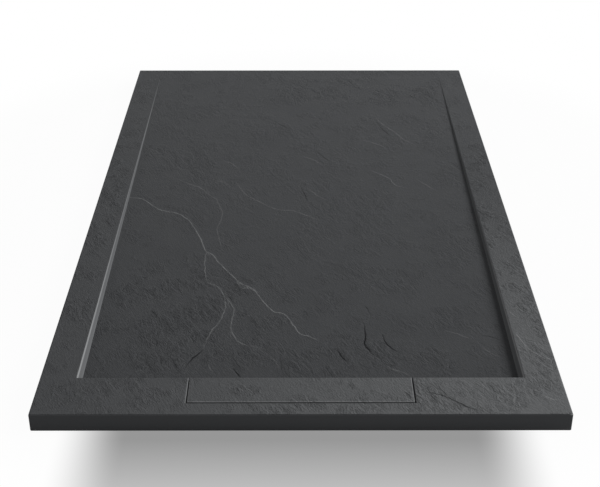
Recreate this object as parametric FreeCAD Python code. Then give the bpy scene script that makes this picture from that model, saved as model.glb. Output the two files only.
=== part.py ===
# Slate-finish shower tray: a cast stone-resin slab with a sunk floor that falls to one end, a channel
# under a lift-out cover there, and the waste and bottle trap that drain it.
# Millimetres. The origin is the middle of the underside, +Z is up, and the drain end is at -Y.
import FreeCAD
import Part
import math
import os

# --- the slab ---
TRAY_LENGTH = 1400.0
TRAY_WIDTH = 800.0
TRAY_THICKNESS = 30.0
PLAN_CORNER_RADIUS = 2.2
TOP_EDGE_RADIUS = 2.0
BED_EDGE_CHAMFER = 1.0

# --- the sunk floor and the raised frame round it ---
FRAME_WIDTH = 56.0  # at both sides and the far end
DRAIN_BORDER = 92.0  # at the drain end
DRAIN_DEPTH = 15.0  # of the floor below the frame, growing from nothing at the far end
WALL_DRAFT_DEG = 12.0
RIM_BEVEL = 2.0  # at the drain end, growing with the wall

# --- the drain cover and its rubber pads ---
COVER_LENGTH = 340.0  # across the tray
COVER_WIDTH = 62.5  # from its front to the line of the rim
COVER_THICKNESS = 10.0
COVER_GAP = 1.5  # at its ends and its front
COVER_EDGE_CHAMFER = 0.6
DRIP_CHAMFER = 1.0
PAD_SIDE = 7.0
PAD_HEIGHT = 3.0
PAD_SOCKET_DEPTH = 0.5  # glued into the cover
PAD_DIMPLE_DEPTH = 0.5  # stands in the ledge
PAD_CLEARANCE = 0.3  # all round in socket and dimple

# --- the channel below the cover ---
END_LEDGE = 14.0
POST_LENGTH = 10.0  # along the channel
POST_WIDTH = 9.0
POST_SPACING = 100.0
SUMP_CORNER_RADIUS = 5.0
SUMP_FLOOR_BEVEL = 1.5
SUMP_LIP_BEVEL = 2.0
WASTE_SEAT_THICKNESS = 6.0  # stone left under the channel
BED_RELIEF_DEPTH = 1.0
BED_RELIEF_MARGIN = 6.0  # round the trap's flange

# --- the waste: a flanged ring with a threaded tail ---
WASTE_HOLE_DIAMETER = 50.0
FLANGE_DIAMETER = 60.0
FLANGE_THICKNESS = 3.0
FLANGE_EDGE_TAPER = 1.5
REBATE_DEPTH = 1.8
REBATE_DIAMETER = 49.0
TAIL_DIAMETER = 47.8
TAIL_BORE = 41.0
TAIL_LENGTH = 24.0
FLANGE_GASKET_THICKNESS = 1.5
GASKET_INSET = 0.5

# --- the strainer ---
STRAINER_THICKNESS = 0.9
STRAINER_SLOT_WIDTH = 2.4
STRAINER_SLOT_START = 6.0  # from the middle
STRAINER_SLOT_LENGTH = 10.0
STRAINER_SLOT_COUNT = 12
KNOB_DIAMETER = 12.0
KNOB_HEIGHT = 3.0
KNOB_NECK_DIAMETER = 6.0
KNOB_DISC_THICKNESS = 1.2
KNOB_EDGE_TAPER = 0.6
RIVET_DIAMETER = 3.0
RIVET_HEAD_DIAMETER = 7.0
RIVET_HEAD_THICKNESS = 0.8

# --- the dip tube that makes the water seal ---
DIP_TUBE_DIAMETER = 38.6
DIP_TUBE_WALL = 2.3
DIP_LIP_THICKNESS = 1.2
SEAL_DEPTH = 30.0  # of tube below the weir
RING_CORD = 2.0
RING_GAP = 0.1
RING_GROOVE_DEPTH = 1.3
RING_GROOVE_WIDTH = 3.0
RING_DROP = 14.0  # below the tube's lip
FINGER_LUG_REACH = 2.5
FINGER_LUG_WIDTH = 7.0
FINGER_LUG_HEIGHT = 2.0
FINGER_LUG_DROP = 8.0

# --- the trap ---
TRAP_GASKET_THICKNESS = 2.0
TRAP_FLANGE_DIAMETER = 80.0
TRAP_FLANGE_THICKNESS = 3.5
TRAP_DIAMETER = 72.0
TRAP_WALL = 2.5
TRAP_DEPTH = 96.0
TRAP_BASE_BEVEL = 3.0
COLLAR_WALL = 3.4
COLLAR_LENGTH = 20.0
THREAD_CLEARANCE = 0.2
GUSSET_COUNT = 6
GUSSET_THICKNESS = 2.0
GUSSET_HEIGHT = 14.0

# --- the trap's outlet for a 40 mm pipe ---
OUTLET_DROP = 36.0  # of its axis below the trap's flange
WEIR_DIAMETER = 35.0
SOCKET_DIAMETER = 40.4
SOCKET_DEPTH = 34.0
SOCKET_WALL = 4.8
SOCKET_MOUTH_CHAMFER = 3.0
STOP_STANDOFF = 4.0  # of the pipe stop beyond the bowl
SEAL_CLEARANCE = 0.4  # of the seal's nose from the taper
SEAL_LENGTH = 1.5  # beyond the socket's mouth
WASHER_THICKNESS = 1.5
NUT_WALL = 4.3
NUT_PIPE_CLEARANCE = 0.8
NUT_END_WALL = 3.0
NUT_SKIRT = 19.0  # of nut over the socket's thread
NUT_RIB_COUNT = 12
NUT_RIB_WIDTH = 3.5
NUT_RIB_HEIGHT = 1.6

# --- places worked out from the sizes above ---
TOP = TRAY_THICKNESS
HALF_LENGTH = TRAY_LENGTH / 2
HALF_WIDTH = TRAY_WIDTH / 2
RECESS_DRAIN_Y = -HALF_LENGTH + DRAIN_BORDER
RECESS_FAR_Y = HALF_LENGTH - FRAME_WIDTH
RECESS_HALF_WIDTH = HALF_WIDTH - FRAME_WIDTH
SLOT_HALF_LENGTH = COVER_LENGTH / 2 + COVER_GAP
SLOT_REAR_Y = RECESS_DRAIN_Y
SLOT_FRONT_Y = SLOT_REAR_Y - COVER_WIDTH - COVER_GAP
COVER_BOTTOM = TOP - COVER_THICKNESS
LEDGE_Z = COVER_BOTTOM - (PAD_HEIGHT - PAD_SOCKET_DEPTH - PAD_DIMPLE_DEPTH)
SUMP_HALF_LENGTH = SLOT_HALF_LENGTH - END_LEDGE
SUMP_FLOOR = BED_RELIEF_DEPTH + WASTE_SEAT_THICKNESS
WASTE_Y = (SLOT_REAR_Y + SLOT_FRONT_Y) / 2
FLANGE_BOTTOM = SUMP_FLOOR + FLANGE_GASKET_THICKNESS
FLANGE_TOP = FLANGE_BOTTOM + FLANGE_THICKNESS
REBATE_FLOOR = FLANGE_TOP - REBATE_DEPTH
LIP_TOP = REBATE_FLOOR + DIP_LIP_THICKNESS
STRAINER_TOP = LIP_TOP + STRAINER_THICKNESS
TRAP_TOP = BED_RELIEF_DEPTH - TRAP_GASKET_THICKNESS
TRAP_BASE = TRAP_TOP - TRAP_DEPTH
OUTLET_Z = TRAP_TOP - OUTLET_DROP
STOP_Y = WASTE_Y + TRAP_DIAMETER / 2 + STOP_STANDOFF
MOUTH_Y = STOP_Y + SOCKET_DEPTH
SOCKET_OUTER_RADIUS = SOCKET_DIAMETER / 2 + SOCKET_WALL
SLIP = 0.5  # radial room of what lifts out of the rebate
NUT_FACE_Y = MOUTH_Y + SEAL_LENGTH + WASHER_THICKNESS
OVERCUT = 5.0  # how far a cutting tool runs past the face that it opens
TINY = 1e-4


def vec(x, y, z):
    return FreeCAD.Vector(x, y, z)


def block(x0, x1, y0, y1, z0, z1):
    """A box between two corners."""
    return Part.makeBox(x1 - x0, y1 - y0, z1 - z0, vec(x0, y0, z0))


def post(radius, z0, z1, x=0.0, y=0.0):
    """An upright cylinder."""
    return Part.makeCylinder(radius, z1 - z0, vec(x, y, z0))


def prism_x(points, x0, x1):
    """A (y, z) outline run along X."""
    corners = [vec(x0, y, z) for y, z in points]
    return Part.Face(Part.makePolygon(corners + corners[:1])).extrude(vec(x1 - x0, 0, 0))


def turned(points):
    """A solid of revolution about Z from (radius, z) corners."""
    corners = [vec(r, 0, z) for r, z in points]
    face = Part.Face(Part.makePolygon(corners + corners[:1]))
    return face.revolve(vec(0, 0, 0), vec(0, 0, 1), 360)


def tube(outer, inner, z0, z1):
    """A ring or pipe about Z."""
    return post(outer, z0, z1).cut(post(inner, z0 - 1, z1 + 1))


def edges_at(shape, test):
    """The edges whose every corner, and middle, passes a test."""
    found = []
    for edge in shape.Edges:
        points = [v.Point for v in edge.Vertexes]
        middle = edge.valueAt((edge.FirstParameter + edge.LastParameter) / 2)
        if all(test(p) for p in points + [middle]):
            found.append(edge)
    return found


def circles_at(shape, radius, z):
    """The circular edges about Z with this radius and height."""
    found = []
    for edge in shape.Edges:
        curve = edge.Curve
        if isinstance(curve, Part.Circle) and abs(curve.Radius - radius) < TINY:
            if abs(curve.Center.z - z) < TINY:
                found.append(edge)
    return found


def at_waste(shape):
    """Moves what was made about Z over the waste hole."""
    moved = shape.copy()
    moved.translate(vec(0, WASTE_Y, 0))
    return moved


def at_outlet(shape):
    """Turns what was made about Z to lie along +Y on the outlet's axis, z=0 going to y=0."""
    moved = shape.copy()
    moved.rotate(vec(0, 0, 0), vec(1, 0, 0), -90)
    moved.translate(vec(0, 0, OUTLET_Z))
    return moved


def share_of_fall(y):
    """0 where the floor leaves the frame's level at the far end, 1 at the drain end."""
    return (RECESS_FAR_Y - y) / (RECESS_FAR_Y - RECESS_DRAIN_Y)


def floor_z(y):
    """The height of the sloping floor."""
    return TOP - share_of_fall(y) * DRAIN_DEPTH


def slab():
    """The outer block with its rounded top edge and eased bed edge."""
    body = block(-HALF_WIDTH, HALF_WIDTH, -HALF_LENGTH, HALF_LENGTH, 0, TOP)
    upright = edges_at(body, lambda p: abs(abs(p.x) - HALF_WIDTH) < TINY
                       and abs(abs(p.y) - HALF_LENGTH) < TINY)
    body = body.makeFillet(PLAN_CORNER_RADIUS, upright)
    body = body.makeFillet(TOP_EDGE_RADIUS, edges_at(body, lambda p: abs(p.z - TOP) < TINY))
    return body.makeChamfer(BED_EDGE_CHAMFER, edges_at(body, lambda p: abs(p.z) < TINY))


def wall_steps():
    """(inward, down) of a recess wall at the drain end: rim, foot of its bevel, foot of the wall."""
    draft = math.tan(math.radians(WALL_DRAFT_DEG))
    foot = RIM_BEVEL + (DRAIN_DEPTH - RIM_BEVEL) * draft
    return [(0.0, 0.0), (RIM_BEVEL, RIM_BEVEL), (foot, DRAIN_DEPTH)]


def solid_between(faces):
    """A solid from its flat faces, each a loop of corners."""
    return Part.Solid(Part.Shell([Part.Face(Part.makePolygon(loop + loop[:1])) for loop in faces]))


def recess_wedge():
    """The space over the floor: a wedge whose side walls and bevels all start at the far corners."""
    near_y = RECESS_DRAIN_Y - OVERCUT
    grown = share_of_fall(near_y)
    left = [vec(-RECESS_HALF_WIDTH + inward * grown, near_y, TOP - down * grown)
            for inward, down in wall_steps()]
    right = [vec(-p.x, p.y, p.z) for p in left]
    far_left = vec(-RECESS_HALF_WIDTH, RECESS_FAR_Y, TOP)
    far_right = vec(RECESS_HALF_WIDTH, RECESS_FAR_Y, TOP)
    faces = [left + right[::-1], [left[2], right[2], far_right, far_left],
             [left[0], right[0], far_right, far_left]]
    for side, apex in ((left, far_left), (right, far_right)):
        faces += [[side[0], side[1], apex], [side[1], side[2], apex]]
    return solid_between(faces)


def recess_tool():
    """What the mould's core takes out, with its end wall at the drain."""
    end_wall = [(RECESS_DRAIN_Y + inward, TOP - down) for inward, down in wall_steps()]
    below = TOP - DRAIN_DEPTH - OVERCUT
    beyond = RECESS_FAR_Y + OVERCUT
    keep = prism_x([(RECESS_DRAIN_Y, TOP + OVERCUT)] + end_wall
                   + [(end_wall[-1][0], below), (beyond, below), (beyond, TOP + OVERCUT)],
                   -HALF_WIDTH, HALF_WIDTH)
    over = block(-RECESS_HALF_WIDTH, RECESS_HALF_WIDTH, RECESS_DRAIN_Y, RECESS_FAR_Y, TOP, TOP + OVERCUT)
    return recess_wedge().common(keep).fuse(over)


def pad_places():
    """Where the cover's pads stand: on the end ledges and on the posts, in two rows."""
    xs = [POST_SPACING / 2, SLOT_HALF_LENGTH - END_LEDGE / 2]
    ys = [SLOT_FRONT_Y + POST_WIDTH / 2, SLOT_REAR_Y - POST_WIDTH / 2]
    return [(side * x, y) for x in xs for y in ys for side in (-1, 1)]


def channel_tool():
    """The slot for the cover, with the open side where the floor runs in under it."""
    above = TOP + OVERCUT
    slot = block(-SLOT_HALF_LENGTH, SLOT_HALF_LENGTH, SLOT_FRONT_Y, SLOT_REAR_Y, LEDGE_Z, above)
    reach = SLOT_REAR_Y + wall_steps()[-1][0]
    mouth = prism_x([(SLOT_REAR_Y, floor_z(SLOT_REAR_Y)), (reach, floor_z(reach)),
                     (reach, above), (SLOT_REAR_Y, above)], -SLOT_HALF_LENGTH, SLOT_HALF_LENGTH)
    return slot.fuse(mouth)


def sump_tool():
    """The well below the ledges, with round corners and a bevelled foot to its walls."""
    well = block(-SUMP_HALF_LENGTH, SUMP_HALF_LENGTH, SLOT_FRONT_Y, SLOT_REAR_Y,
                 SUMP_FLOOR, LEDGE_Z + 1)
    upright = [e for e in well.Edges if abs(e.tangentAt(0).z) > 0.9]
    well = well.makeFillet(SUMP_CORNER_RADIUS, upright)
    return well.makeChamfer(SUMP_FLOOR_BEVEL, edges_at(well, lambda p: abs(p.z - SUMP_FLOOR) < TINY))


def lip_tool():
    """The bevel that takes off the floor's edge where water falls into the well."""
    rear = SLOT_REAR_Y + SUMP_LIP_BEVEL
    lip_z = floor_z(SLOT_REAR_Y)
    half = SUMP_HALF_LENGTH - SUMP_CORNER_RADIUS
    return prism_x([(SLOT_REAR_Y, lip_z - SUMP_LIP_BEVEL), (rear, floor_z(rear)),
                    (rear, lip_z + OVERCUT), (SLOT_REAR_Y, lip_z + OVERCUT)], -half, half)


def tray_body():
    """The casting: slab, sunk floor, slot, channel, posts, waste seat and relieved underside."""
    body = slab().cut(recess_tool())
    body = body.cut(channel_tool()).cut(sump_tool()).cut(lip_tool())
    for side in (-1, 1):
        x = side * POST_SPACING / 2
        for y0, y1 in ((SLOT_FRONT_Y - 1, SLOT_FRONT_Y + POST_WIDTH),
                       (SLOT_REAR_Y - POST_WIDTH, SLOT_REAR_Y + SUMP_LIP_BEVEL)):
            body = body.fuse(block(x - POST_LENGTH / 2, x + POST_LENGTH / 2, y0, y1,
                                   SUMP_FLOOR - 1, LEDGE_Z))
    dimple = PAD_SIDE / 2 + PAD_CLEARANCE
    for x, y in pad_places():
        body = body.cut(block(x - dimple, x + dimple, y - dimple, y + dimple,
                              LEDGE_Z - PAD_DIMPLE_DEPTH, LEDGE_Z + 1))
    body = body.cut(post(WASTE_HOLE_DIAMETER / 2, -1, SUMP_FLOOR + 1, 0, WASTE_Y))
    relief = TRAP_FLANGE_DIAMETER / 2 + BED_RELIEF_MARGIN
    body = body.cut(post(relief, -1, BED_RELIEF_DEPTH, 0, WASTE_Y))
    return body.removeSplitter()


def drain_cover():
    """The lift-out lid: eased front edge, and the recess's bevelled rim carried along its rear edge."""
    half = COVER_LENGTH / 2
    front = SLOT_FRONT_Y + COVER_GAP
    rear = SLOT_REAR_Y + RIM_BEVEL
    lid = block(-half, half, front, rear, COVER_BOTTOM, TOP)
    lid = lid.makeChamfer(RIM_BEVEL, edges_at(lid, lambda p: abs(p.y - rear) < TINY
                                              and abs(p.z - TOP) < TINY))
    lid = lid.makeChamfer(DRIP_CHAMFER, edges_at(lid, lambda p: abs(p.y - rear) < TINY
                                                 and abs(p.z - COVER_BOTTOM) < TINY))
    lid = lid.makeChamfer(COVER_EDGE_CHAMFER, edges_at(lid, lambda p: abs(p.y - front) < TINY
                                                       and abs(p.z - TOP) < TINY))
    socket = PAD_SIDE / 2
    for x, y in pad_places():
        lid = lid.cut(block(x - socket, x + socket, y - socket, y + socket,
                            COVER_BOTTOM - 1, COVER_BOTTOM + PAD_SOCKET_DEPTH))
    return lid


def cover_pads():
    """The square rubber pads bonded into the cover's underside."""
    low = LEDGE_Z - PAD_DIMPLE_DEPTH
    half = PAD_SIDE / 2
    return Part.Compound([block(x - half, x + half, y - half, y + half, low, low + PAD_HEIGHT)
                          for x, y in pad_places()])


def waste_flange():
    """The metal ring that clamps the waste to the tray, with its threaded tail and rebate."""
    radius = FLANGE_DIAMETER / 2
    tail_end = FLANGE_BOTTOM - TAIL_LENGTH
    return at_waste(turned([(TAIL_BORE / 2, tail_end), (TAIL_DIAMETER / 2, tail_end),
                            (TAIL_DIAMETER / 2, FLANGE_BOTTOM), (radius, FLANGE_BOTTOM),
                            (radius - FLANGE_EDGE_TAPER, FLANGE_TOP),
                            (REBATE_DIAMETER / 2, FLANGE_TOP), (REBATE_DIAMETER / 2, REBATE_FLOOR),
                            (TAIL_BORE / 2, REBATE_FLOOR)]))


def flange_gasket():
    """The flat ring between the flange and the channel's floor."""
    inner = WASTE_HOLE_DIAMETER / 2 + GASKET_INSET
    return at_waste(tube(FLANGE_DIAMETER / 2 - GASKET_INSET, inner, SUMP_FLOOR, FLANGE_BOTTOM))


def trap_gasket():
    """The flat ring between the tray's underside and the trap."""
    inner = WASTE_HOLE_DIAMETER / 2 + GASKET_INSET
    return at_waste(tube(TRAP_FLANGE_DIAMETER / 2 - GASKET_INSET, inner, TRAP_TOP, BED_RELIEF_DEPTH))


def strainer_plate():
    """The pierced disc that catches hair."""
    radius = REBATE_DIAMETER / 2 - SLIP
    disc = tube(radius, RIVET_DIAMETER / 2, LIP_TOP, STRAINER_TOP)
    slot = block(STRAINER_SLOT_START, STRAINER_SLOT_START + STRAINER_SLOT_LENGTH,
                 -STRAINER_SLOT_WIDTH / 2, STRAINER_SLOT_WIDTH / 2, LIP_TOP - 1, STRAINER_TOP + 1)
    slots = []
    for i in range(STRAINER_SLOT_COUNT):
        turned_slot = slot.copy()
        turned_slot.rotate(vec(0, 0, 0), vec(0, 0, 1), 360 * i / STRAINER_SLOT_COUNT)
        slots.append(turned_slot)
    return at_waste(disc.cut(Part.Compound(slots)))


def strainer_knob():
    """The finger knob, riveted through the plate."""
    top = STRAINER_TOP + KNOB_HEIGHT
    low = LIP_TOP - RIVET_HEAD_THICKNESS
    knob = turned([(0, low), (RIVET_HEAD_DIAMETER / 2, low),
                   (RIVET_HEAD_DIAMETER / 2, LIP_TOP), (RIVET_DIAMETER / 2, LIP_TOP),
                   (RIVET_DIAMETER / 2, STRAINER_TOP), (KNOB_NECK_DIAMETER / 2, STRAINER_TOP),
                   (KNOB_NECK_DIAMETER / 2, top - KNOB_DISC_THICKNESS),
                   (KNOB_DIAMETER / 2, top - KNOB_DISC_THICKNESS),
                   (KNOB_DIAMETER / 2 - KNOB_EDGE_TAPER, top), (0, top)])
    return at_waste(knob)


def dip_tube():
    """The tube that hangs in the water: lip, ring groove, finger lugs and a slanted foot."""
    outer = DIP_TUBE_DIAMETER / 2
    inner = outer - DIP_TUBE_WALL
    foot = OUTLET_Z - WEIR_DIAMETER / 2 - SEAL_DEPTH
    ring_z = LIP_TOP - RING_DROP
    groove = outer - RING_GROOVE_DEPTH
    body = turned([(inner, foot), (outer, foot), (outer, ring_z - RING_GROOVE_WIDTH / 2),
                   (groove, ring_z - RING_GROOVE_WIDTH / 2), (groove, ring_z + RING_GROOVE_WIDTH / 2),
                   (outer, ring_z + RING_GROOVE_WIDTH / 2), (outer, REBATE_FLOOR),
                   (REBATE_DIAMETER / 2 - SLIP, REBATE_FLOOR), (REBATE_DIAMETER / 2 - SLIP, LIP_TOP),
                   (inner, LIP_TOP)])
    lug_top = LIP_TOP - FINGER_LUG_DROP
    lugs = block(-inner - DIP_TUBE_WALL / 2, inner + DIP_TUBE_WALL / 2, -FINGER_LUG_WIDTH / 2,
                 FINGER_LUG_WIDTH / 2, lug_top - FINGER_LUG_HEIGHT, lug_top)
    lugs = lugs.cut(post(inner - FINGER_LUG_REACH, foot, LIP_TOP))
    lugs = lugs.common(post(outer - DIP_TUBE_WALL / 2, foot, LIP_TOP))
    return at_waste(body.fuse(lugs))


def dip_tube_ring():
    """The square-section rubber ring that seals the dip tube in the waste's bore."""
    inner = DIP_TUBE_DIAMETER / 2 - RING_GROOVE_DEPTH + RING_GAP
    middle = LIP_TOP - RING_DROP
    half = RING_CORD / 2
    return at_waste(tube(inner + RING_CORD, inner, middle - half, middle + half))


def trap_bowl():
    """The trap's cup with its flange, threaded collar and gussets, open inside."""
    outer = TRAP_DIAMETER / 2
    inner = outer - TRAP_WALL
    cup = post(outer, TRAP_BASE, TRAP_TOP)
    cup = cup.makeChamfer(TRAP_BASE_BEVEL, circles_at(cup, outer, TRAP_BASE))
    cup = cup.fuse(post(TRAP_FLANGE_DIAMETER / 2, TRAP_TOP - TRAP_FLANGE_THICKNESS, TRAP_TOP))
    drop = TRAP_TOP - TRAP_FLANGE_THICKNESS
    gusset = prism_x([(outer - 1, drop), (TRAP_FLANGE_DIAMETER / 2, drop), (outer, drop - GUSSET_HEIGHT),
                      (outer - 1, drop - GUSSET_HEIGHT)], -GUSSET_THICKNESS / 2, GUSSET_THICKNESS / 2)
    for i in range(GUSSET_COUNT):
        rib = gusset.copy()
        rib.rotate(vec(0, 0, 0), vec(0, 0, 1), 360 * (i + 0.5) / GUSSET_COUNT)
        cup = cup.fuse(rib)
    hollow = post(inner, TRAP_BASE + TRAP_WALL, drop)
    bore = TAIL_DIAMETER / 2 + THREAD_CLEARANCE
    hollow = hollow.cut(tube(bore + COLLAR_WALL, bore, TRAP_TOP - COLLAR_LENGTH, TRAP_TOP))
    return cup, hollow.fuse(post(bore, TRAP_TOP - COLLAR_LENGTH, TRAP_TOP + 1))


def trap_body():
    """The moulded trap: bowl, and the socket for the outlet pipe with its stop."""
    cup, hollow = trap_bowl()
    root = WASTE_Y + TRAP_DIAMETER / 2 - TRAP_WALL - OVERCUT
    spigot = at_outlet(post(SOCKET_OUTER_RADIUS, root, MOUTH_Y))
    body = at_waste(cup).fuse(spigot).cut(at_waste(hollow))
    socket = post(SOCKET_DIAMETER / 2, STOP_Y, MOUTH_Y + 1)
    mouth = Part.makeCone(SOCKET_DIAMETER / 2, SOCKET_DIAMETER / 2 + SOCKET_MOUTH_CHAMFER,
                          SOCKET_MOUTH_CHAMFER, vec(0, 0, MOUTH_Y - SOCKET_MOUTH_CHAMFER))
    weir = post(WEIR_DIAMETER / 2, WASTE_Y + TAIL_DIAMETER / 2 + COLLAR_WALL, STOP_Y + 1)
    return body.cut(at_outlet(socket.fuse(mouth).fuse(weir))).removeSplitter()


def outlet_seal():
    """The wedge-shaped rubber ring that the nut squeezes into the socket's mouth."""
    inner = SOCKET_DIAMETER / 2
    nose = MOUTH_Y - SOCKET_MOUTH_CHAMFER + SEAL_CLEARANCE
    back = MOUTH_Y + SEAL_LENGTH
    return at_outlet(turned([(inner, nose), (inner + back - nose, back), (inner, back)]))


def outlet_washer():
    """The slip washer between the seal and the nut."""
    return at_outlet(tube(SOCKET_OUTER_RADIUS, SOCKET_DIAMETER / 2, MOUTH_Y + SEAL_LENGTH, NUT_FACE_Y))


def outlet_nut():
    """The hand nut over the socket's thread: two flats to each of its ribs."""
    bore = SOCKET_OUTER_RADIUS + THREAD_CLEARANCE
    outer = bore + NUT_WALL
    start = MOUTH_Y - NUT_SKIRT
    end = NUT_FACE_Y + NUT_END_WALL
    turn = math.pi / NUT_RIB_COUNT
    corners = [vec(outer * math.cos(i * turn), outer * math.sin(i * turn), start)
               for i in range(2 * NUT_RIB_COUNT)]
    nut = Part.Face(Part.makePolygon(corners + corners[:1])).extrude(vec(0, 0, end - start))
    rib = block(bore + NUT_WALL / 2, outer + NUT_RIB_HEIGHT, -NUT_RIB_WIDTH / 2, NUT_RIB_WIDTH / 2,
                start + NUT_END_WALL, end - NUT_END_WALL)
    for i in range(NUT_RIB_COUNT):
        turned_rib = rib.copy()
        turned_rib.rotate(vec(0, 0, 0), vec(0, 0, 1), 360 * i / NUT_RIB_COUNT)
        nut = nut.fuse(turned_rib)
    nut = nut.cut(post(bore, start - 1, NUT_FACE_Y))
    nut = nut.cut(post(SOCKET_DIAMETER / 2 + NUT_PIPE_CLEARANCE, NUT_FACE_Y - 1, end + 1))
    return at_outlet(nut)


NODES = {
    "tray_body": tray_body,
    "drain_cover": drain_cover,
    "cover_pads": cover_pads,
    "waste_flange": waste_flange,
    "flange_gasket": flange_gasket,
    "strainer_plate": strainer_plate,
    "strainer_knob": strainer_knob,
    "dip_tube": dip_tube,
    "dip_tube_ring": dip_tube_ring,
    "trap_gasket": trap_gasket,
    "trap_body": trap_body,
    "outlet_seal": outlet_seal,
    "outlet_washer": outlet_washer,
    "outlet_nut": outlet_nut,
}

os.makedirs("parts", exist_ok=True)
for name, make in NODES.items():
    shape = make()
    shape.exportStep(f"parts/{name}.step")
    litres = shape.Volume / 1e6
    print(f"{name}: {len(shape.Solids)} solid(s), {litres:.4f} l, valid {shape.isValid()}")
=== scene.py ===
# %% [markdown]
# # A slate-finish shower tray
# The real tray is one casting of stone resin with a thin coloured skin. Its mould was taken from split
# slate, so the top carries the stone's grain, its clefts and a few pale veins, while the cut sides and
# the back are plain. A lid of the same casting hides the channel, and below it sit a steel waste and a
# moulded trap. The CAD model gives every piece its place and size. Here each surface gets its look.

# %% Load the frame that the CAD model gives
import math
from functools import reduce
import bmesh
import bpy
import numpy as np
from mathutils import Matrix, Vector


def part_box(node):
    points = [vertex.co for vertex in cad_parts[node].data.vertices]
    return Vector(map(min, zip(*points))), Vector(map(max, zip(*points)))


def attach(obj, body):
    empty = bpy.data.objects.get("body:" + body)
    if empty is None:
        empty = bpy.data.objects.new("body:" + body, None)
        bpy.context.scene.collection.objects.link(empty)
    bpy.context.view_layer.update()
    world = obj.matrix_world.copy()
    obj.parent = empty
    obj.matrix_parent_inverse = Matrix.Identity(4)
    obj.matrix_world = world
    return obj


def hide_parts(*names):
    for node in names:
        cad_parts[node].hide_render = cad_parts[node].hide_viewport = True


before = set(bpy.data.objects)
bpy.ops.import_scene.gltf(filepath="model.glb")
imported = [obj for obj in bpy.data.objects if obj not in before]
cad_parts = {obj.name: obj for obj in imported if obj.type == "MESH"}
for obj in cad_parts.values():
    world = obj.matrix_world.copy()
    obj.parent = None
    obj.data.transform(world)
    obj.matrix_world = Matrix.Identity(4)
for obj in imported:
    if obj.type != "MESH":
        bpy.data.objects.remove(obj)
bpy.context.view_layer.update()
print("CAD nodes:", ", ".join(sorted(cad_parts)))

# %% [markdown]
# ## Camera
# A long lens on a tripod, standing off the drain end and looking down by about 29 degrees, gives the
# gentle perspective of a catalogue picture. It has no shift and no blur.

# %% Place the camera
LENS_MM = 70.3
CAMERA_PLACE = (-0.0035, -2.074, 1.089)
CAMERA_PITCH_DOWN = math.radians(29.31)
CAMERA_YAW_RIGHT = math.radians(0.094)


def placed(name, data):
    """A new object in the scene."""
    made = bpy.data.objects.new(name, data)
    bpy.context.scene.collection.objects.link(made)
    return made


camera_data = bpy.data.cameras.new("catalogue_camera")
camera_data.sensor_width = 36
camera_data.lens = LENS_MM
camera = placed("catalogue_camera", camera_data)
camera.location = CAMERA_PLACE
camera.rotation_euler = (math.pi / 2 - CAMERA_PITCH_DOWN, 0, -CAMERA_YAW_RIGHT)
bpy.context.scene.camera = camera
bpy.context.scene.view_settings.view_transform = "Standard"
print("camera stands", -CAMERA_PLACE[1], "m from the middle of the tray")

# %% [markdown]
# ## Light and floor
# One large soft panel stands well off on the right, about 35 degrees high, so that it lights the tray
# evenly, draws its grain and lays a soft shadow along the right wall. A plain pale room fills the rest.
# The room and the floor show as white to the camera and in reflections only, so the white adds no light
# to the stone. The floor carries a painted shadow, a soft grey patch laid in front of the tray, and lets
# rays through from below, so that the trap can be looked at from underneath.

# %% Helpers for node trees
def wire(tree, node, values):
    """Joins the node's inputs to sockets, or sets them to plain values."""
    for key, value in values.items():
        if isinstance(value, bpy.types.NodeSocket):
            tree.links.new(value, node.inputs[key])
        else:
            node.inputs[key].default_value = value
    return node


def add(tree, kind, inputs=None, **settings):
    """A new node with its settings and its inputs."""
    node = tree.nodes.new(kind)
    for name, value in settings.items():
        setattr(node, name, value)
    return wire(tree, node, inputs or {})


def maths(tree, operation, *values):
    """A Math node's result from sockets or numbers."""
    return add(tree, "ShaderNodeMath", dict(enumerate(values)), operation=operation).outputs[0]


def times(tree, *values):
    """The product of sockets or numbers."""
    return reduce(lambda one, other: maths(tree, "MULTIPLY", one, other), values)


def plus(tree, *values):
    """The sum of sockets or numbers."""
    return reduce(lambda one, other: maths(tree, "ADD", one, other), values)


def split(tree, vector):
    """The x, y and z of a vector."""
    return tuple(add(tree, "ShaderNodeSeparateXYZ", {0: vector}).outputs)


def length(tree, vector):
    """How long a vector is."""
    return add(tree, "ShaderNodeVectorMath", {0: vector}, operation="LENGTH").outputs["Value"]


def ramp(tree, value, start, end, low=0.0, high=1.0, soft=True):
    """Goes from low to high while the value goes from start to end."""
    reach = {"Value": value, "From Min": start, "From Max": end, "To Min": low, "To Max": high}
    kind = "SMOOTHSTEP" if soft else "LINEAR"
    return add(tree, "ShaderNodeMapRange", reach, interpolation_type=kind).outputs[0]


def seen_ray(tree):
    """1 for camera, glossy and transmission rays, and 0 for the rays that carry light."""
    path = add(tree, "ShaderNodeLightPath").outputs
    mirror = maths(tree, "MAXIMUM", path["Is Glossy Ray"], path["Is Transmission Ray"])
    return maths(tree, "MAXIMUM", path["Is Camera Ray"], mirror)


print("node helpers are ready")


# %% Light the room
ROOM_LEVEL = 0.31
PANEL_SIZE = (5.1, 3.6)
PANEL_PLACE = Vector((6.3, 0.75, 4.5))
PANEL_POWER = 645.0
WHITE = (1, 1, 1, 1)

world = bpy.data.worlds.new("pale_room")
world.use_nodes = True
bpy.context.scene.world = world
room = world.node_tree
room.nodes.clear()
fill = add(room, "ShaderNodeBackground", {"Color": WHITE, "Strength": ROOM_LEVEL})
white = add(room, "ShaderNodeBackground", {"Color": WHITE, "Strength": 1.0})
choice = add(room, "ShaderNodeMixShader", {0: seen_ray(room), 1: fill.outputs[0], 2: white.outputs[0]})
add(room, "ShaderNodeOutputWorld", {"Surface": choice.outputs[0]})

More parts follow.
